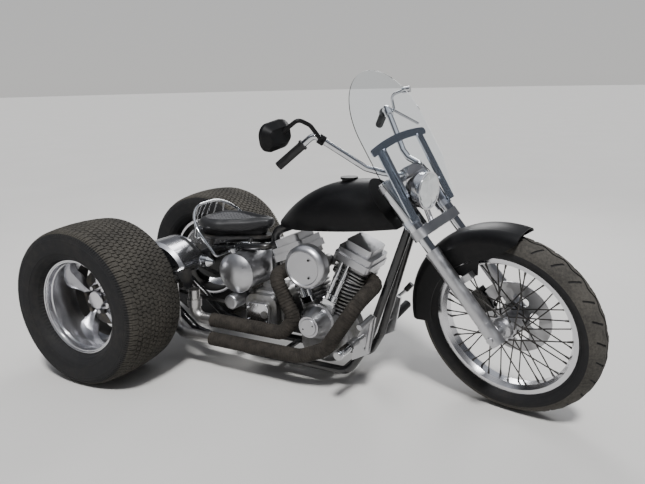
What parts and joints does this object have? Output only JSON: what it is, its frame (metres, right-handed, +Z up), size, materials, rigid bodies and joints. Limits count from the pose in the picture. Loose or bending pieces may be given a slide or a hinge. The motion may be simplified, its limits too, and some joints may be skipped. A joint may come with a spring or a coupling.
{
  "type": "motorized trike",
  "caption": "Custom V-twin motor trike with a long raked fork, wire front wheel, wide rear tyres, solo seat, windshield and wrapped exhaust pipes",
  "frame": {"origin": "floor level, midway between the rear tyres and midway along the overall length", "axes": "+X points forward along the trike, +Y to its left, +Z up; the steering is parked turned 15.9 degrees to the right"},
  "size_m": [2.3761, 1.2198, 1.2924],
  "materials": {
    "tyre": "matt, worn",
    "polished_alloy": "polished",
    "satin_alloy": "satin",
    "cast_alloy": "cast, dusty",
    "black_steel": "semi-gloss black",
    "black_paint": "gloss black",
    "black_gloss": "gloss black with dust",
    "spoke_steel": "dull, dark",
    "brushed_steel": "brushed",
    "cast_drum": "dusty black",
    "chrome": "polished chrome",
    "heat_wrap": "charcoal woven tape",
    "belt_rubber": "matt black",
    "black_leather": "grained black",
    "grip_rubber": "matt black",
    "black_trim": "satin black",
    "clear_sheet": "clear"
  },
  "bodies": {
    "chassis": {"axle_housing": "black_steel", "frame_main": "black_paint", "frame_rear": "black_paint", "crankcase": "cast_alloy", "cylinders": "cast_alloy", "rocker_boxes": "polished_alloy", "pushrod_tubes": "chrome", "cam_cover": "polished_alloy", "carburettor": "cast_alloy", "air_cleaner": "chrome", "exhaust_wraps": "heat_wrap", "exhaust_pipes": "chrome", "transmission": "cast_alloy", "primary_cover": "black_steel", "final_drive": "belt_rubber", "oil_tank": "chrome", "oil_cap": "chrome", "oil_filter": "chrome", "fuel_tank": "black_gloss", "fuel_cap": "chrome", "seat_pan": "black_steel", "seat_pad": "black_leather", "seat_hoop": "chrome", "axle_cover_right": "chrome", "axle_cover_left": "chrome", "cover_brackets": "black_paint", "marker_lamps": "chrome", "foot_control_right": "brushed_steel", "foot_control_left": "brushed_steel"},
    "fork": {"fork_sliders": "satin_alloy", "fork_tubes": "chrome", "lower_clamp": "satin_alloy", "upper_clamp": "satin_alloy", "fork_shrouds": "chrome", "front_mudguard": "black_gloss", "mudguard_brackets": "brushed_steel", "brake_caliper": "black_steel", "handlebar_clamp": "satin_alloy", "handlebar": "chrome", "handgrips": "grip_rubber", "right_mirror": "black_trim", "left_hand_lever": "chrome", "headlight": "chrome", "windshield": "clear_sheet", "windshield_frame": "chrome"},
    "wheel_front": {"front_tyre": "tyre", "front_rim": "polished_alloy", "front_hub": "black_steel", "front_spokes": "spoke_steel", "front_brake_disc": "brushed_steel"},
    "wheel_rear_right": {"rear_tyre_right": "tyre", "rear_wheel_right": "polished_alloy", "rear_drum_right": "cast_drum"},
    "wheel_rear_left": {"rear_tyre_left": "tyre", "rear_wheel_left": "polished_alloy", "rear_drum_left": "cast_drum"}
  },
  "joints": [
    {"name": "steering", "type": "hinge", "parent": "chassis", "child": "fork", "pos_m": [0.433, 0, 0.75785], "axis": [-0.628, 0, 0.7782], "range_deg": [-14.1, 45.9]},
    {"name": "front_wheel_spin", "type": "hinge", "parent": "fork", "child": "wheel_front", "pos_m": [0.83107, -0.01699, 0.35948], "axis": [0.2132, 0.9617, 0.172], "continuous": true},
    {"name": "rear_right_spin", "type": "hinge", "parent": "chassis", "child": "wheel_rear_right", "pos_m": [-0.84209, -0.444, 0.346], "axis": [0, 1, 0], "continuous": true},
    {"name": "rear_left_spin", "type": "hinge", "parent": "chassis", "child": "wheel_rear_left", "pos_m": [-0.84209, 0.444, 0.346], "axis": [0, 1, 0], "continuous": true}
  ]
}
